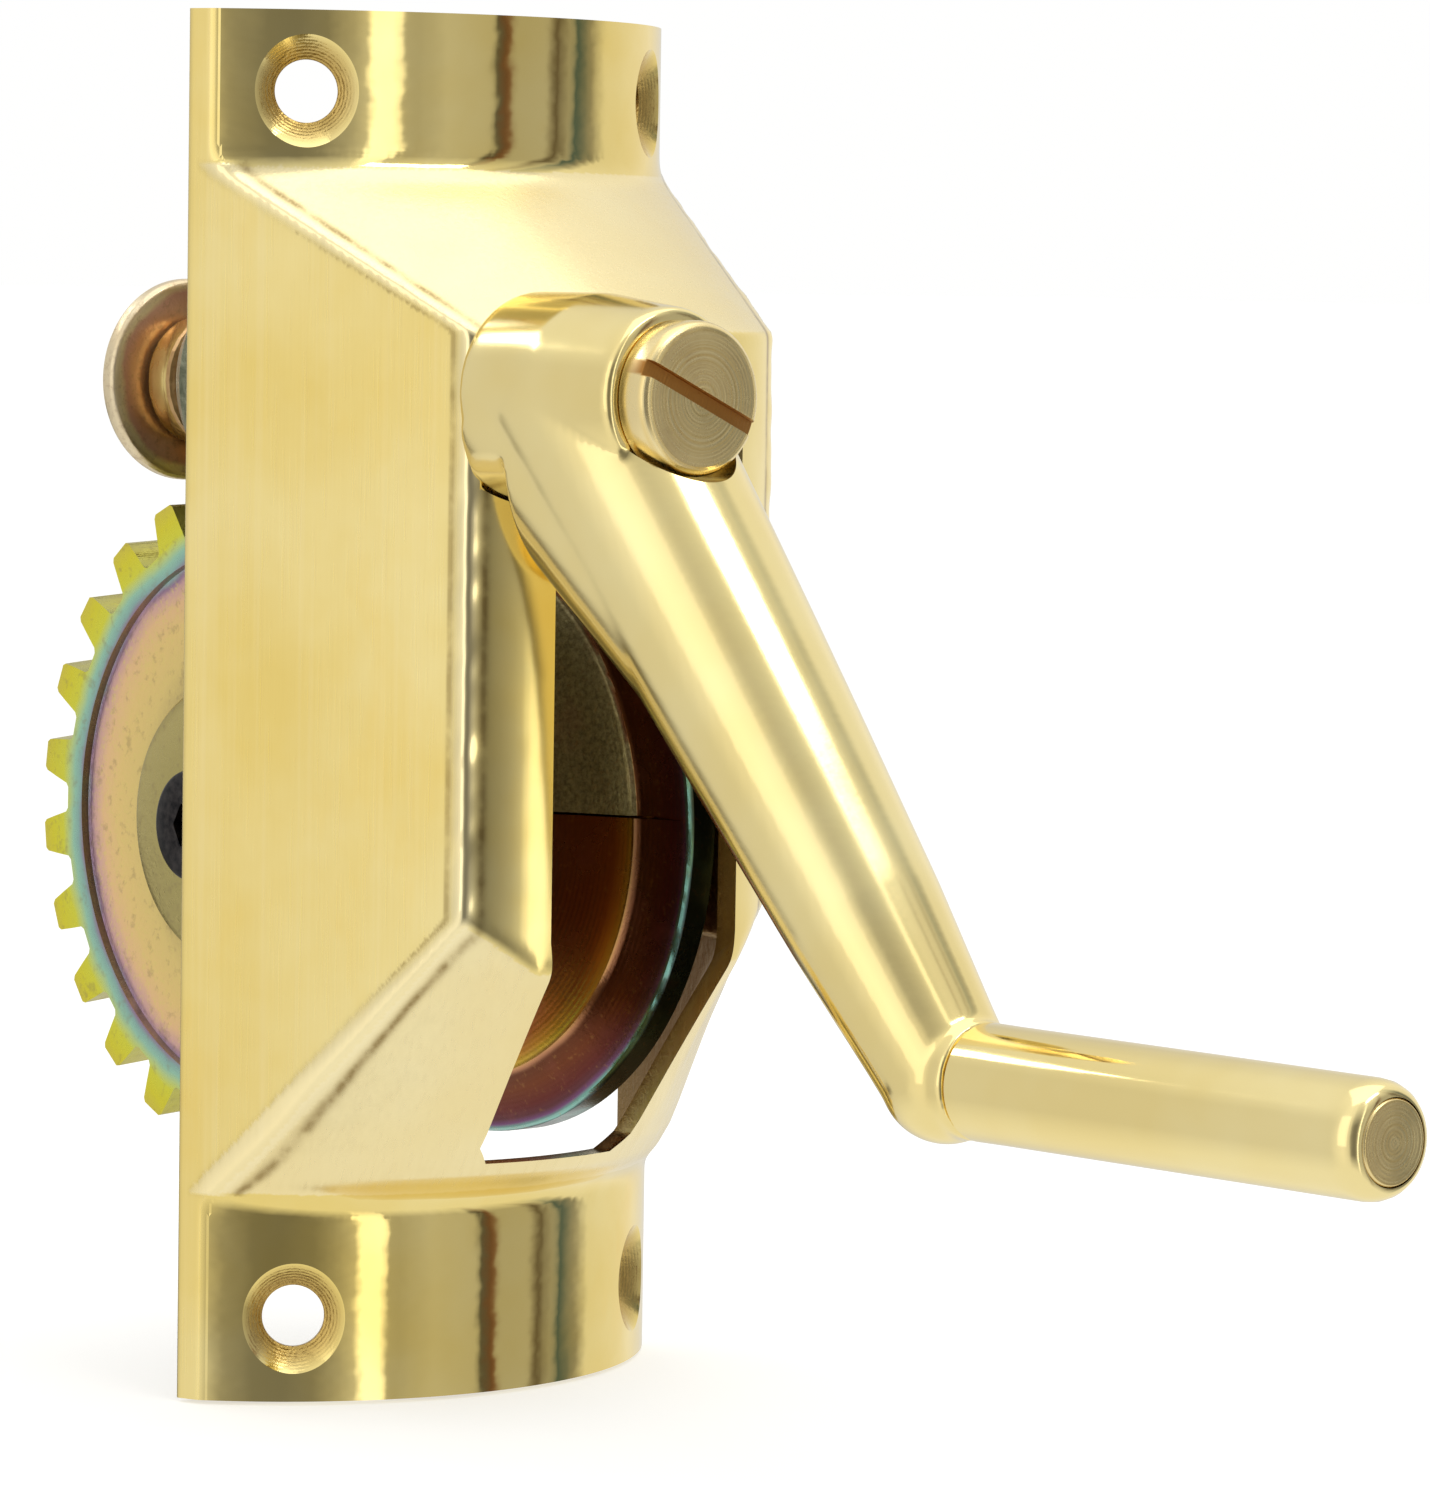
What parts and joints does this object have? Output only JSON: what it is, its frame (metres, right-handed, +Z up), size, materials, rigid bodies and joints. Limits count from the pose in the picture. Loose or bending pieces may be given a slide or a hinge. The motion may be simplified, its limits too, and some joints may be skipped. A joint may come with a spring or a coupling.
{
  "type": "mast winch",
  "caption": "Brass in-mast halyard winch: a hand crank turns a worm that drives a toothed wheel and rope drum in a curved housing.",
  "frame": {"origin": "mid wall of the lower flange's end face, in the middle across the mast", "axes": "+Z up along the mast, -Y towards the user, +Y into the mast, +X to the right seen from the front"},
  "size_m": [0.0878, 0.2657, 0.2],
  "materials": {
    "brass": "satin polished brass",
    "brass_crank": "polished brass",
    "brass_turned": "turned brass",
    "zinc": "yellow iridescent zinc",
    "zinc_drum": "red and bronze iridescent zinc",
    "steel_grease": "steel with grey-green grease",
    "black": "black oxide",
    "bronze": "bearing bronze",
    "steel": "plain steel",
    "zinc_disc": "red-brown iridescent zinc"
  },
  "bodies": {
    "body": {"housing": "brass", "worm_front_bush": "bronze", "worm_rear_bush": "bronze", "worm_front_washer": "bronze", "worm_rear_washer": "bronze", "drum_axle": "steel", "axle_thrust_washer": "bronze", "axle_end_washer": "black", "axle_screw": "black", "axle_lock_pin": "steel"},
    "crank": {"worm_shaft": "steel_grease", "worm_rear_disc": "zinc_disc", "rear_disc_screw": "steel", "crank_arm": "brass_crank", "crank_key": "steel", "crank_screw": "brass_turned", "grip_spindle": "brass_turned"},
    "reel": {"worm_wheel": "zinc", "wheel_bush": "bronze", "drum": "zinc_drum", "drum_bush": "bronze", "drive_pin_1": "steel", "drive_pin_2": "steel", "drive_pin_3": "steel", "rope_clamp_screw": "steel"},
    "grip": {"grip_sleeve": "brass_crank"}
  },
  "joints": [
    {"name": "crank_spin", "type": "hinge", "parent": "body", "child": "crank", "pos_m": [-0.01785, 0, 0.1464], "axis": [0, 1, 0], "continuous": true},
    {"name": "drum_spin", "type": "hinge", "parent": "body", "child": "reel", "pos_m": [0, 0.0304, 0.082], "axis": [1, 0, 0], "continuous": true},
    {"name": "grip_spin", "type": "hinge", "parent": "crank", "child": "grip", "pos_m": [-0.0124, 0, 0.0577], "axis": [0, 1, 0], "continuous": true}
  ],
  "couplings": [
    {"joint": "drum_spin", "follows": "crank_spin", "ratio": 0.04}
  ]
}
